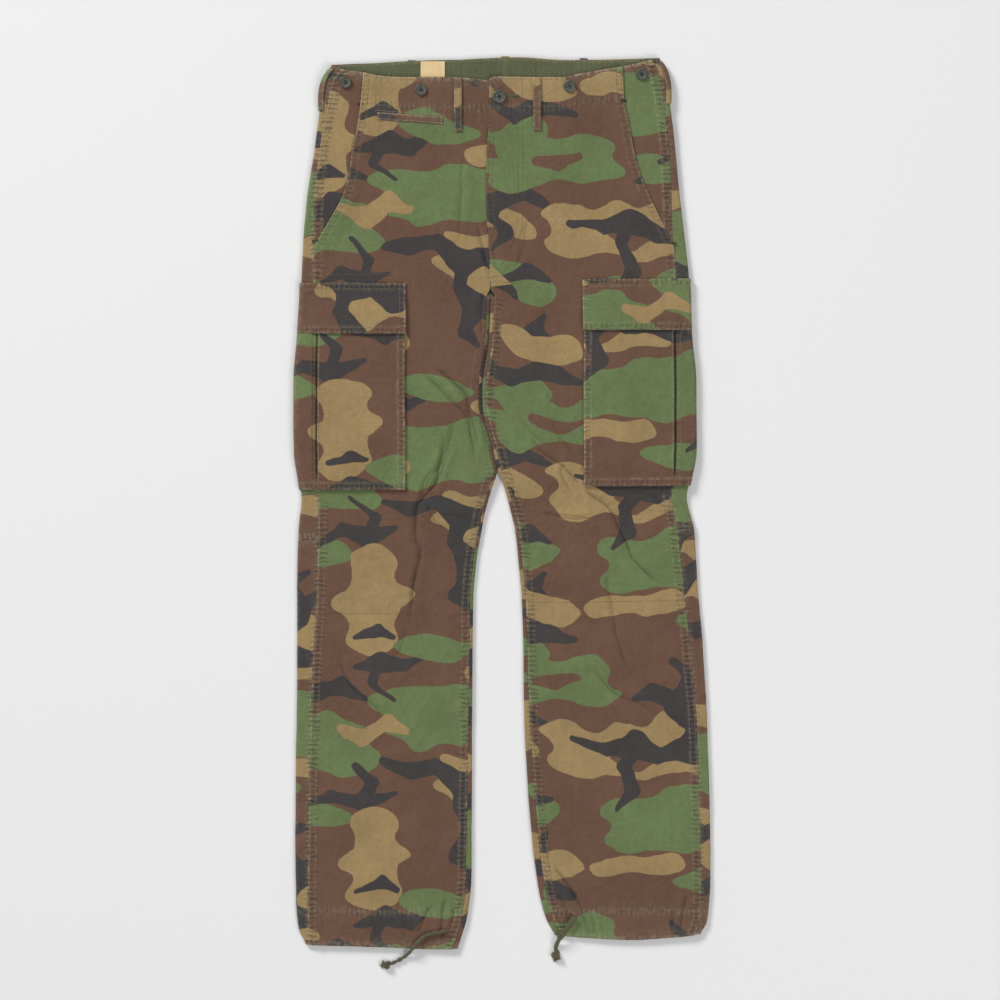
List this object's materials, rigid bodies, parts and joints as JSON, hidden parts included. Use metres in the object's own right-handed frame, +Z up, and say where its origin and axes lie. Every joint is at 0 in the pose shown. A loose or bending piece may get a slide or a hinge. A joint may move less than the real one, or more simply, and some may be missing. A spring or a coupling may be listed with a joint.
{
  "type": "cargo trousers laid flat",
  "caption": "Cargo trousers in camouflage cloth laid flat, with button fly, slash pockets, side cargo pockets under flaps, belt loops, brace buttons and hem drawcords.",
  "frame": {"origin": "on the surface the trousers lie on, in the middle of the cloth's box", "axes": "+Y along the legs towards the waist, +X towards the wearer's left, +Z up, out of the front"},
  "size_m": [0.517, 1.1321, 0.0138],
  "materials": {
    "camouflage_cloth": "printed cotton ripstop, matt, washed",
    "olive_facing_cloth": "plain cotton twill, matt",
    "label_tape": "woven tape, matt",
    "button_resin": "moulded resin, satin",
    "drawcord_tape": "woven cotton tape, matt",
    "sewing_thread": "polyester and cotton thread, matt"
  },
  "bodies": {
    "root": {"right_front": "camouflage_cloth", "right_side_panel": "camouflage_cloth", "right_back_upper": "camouflage_cloth", "right_back_lower": "camouflage_cloth", "right_cargo_pocket": "camouflage_cloth", "right_cargo_flap": "camouflage_cloth", "belt_loop_side_right": "camouflage_cloth", "left_front": "camouflage_cloth", "left_side_panel": "camouflage_cloth", "left_back_upper": "camouflage_cloth", "left_back_lower": "camouflage_cloth", "left_cargo_pocket": "camouflage_cloth", "left_cargo_flap": "camouflage_cloth", "belt_loop_side_left": "camouflage_cloth", "belt_loop_front_right": "camouflage_cloth", "belt_loop_front_left": "camouflage_cloth", "belt_loop_back_right": "camouflage_cloth", "belt_loop_centre_back": "camouflage_cloth", "belt_loop_back_left": "camouflage_cloth", "coin_pocket_welt": "camouflage_cloth", "waist_facing": "olive_facing_cloth", "waist_label": "label_tape", "waist_button": "button_resin", "brace_button_side_right": "button_resin", "brace_button_front_right": "button_resin", "brace_button_front_left": "button_resin", "brace_button_side_left": "button_resin", "right_drawcord": "drawcord_tape", "left_drawcord": "drawcord_tape"}
  },
  "joints": []
}
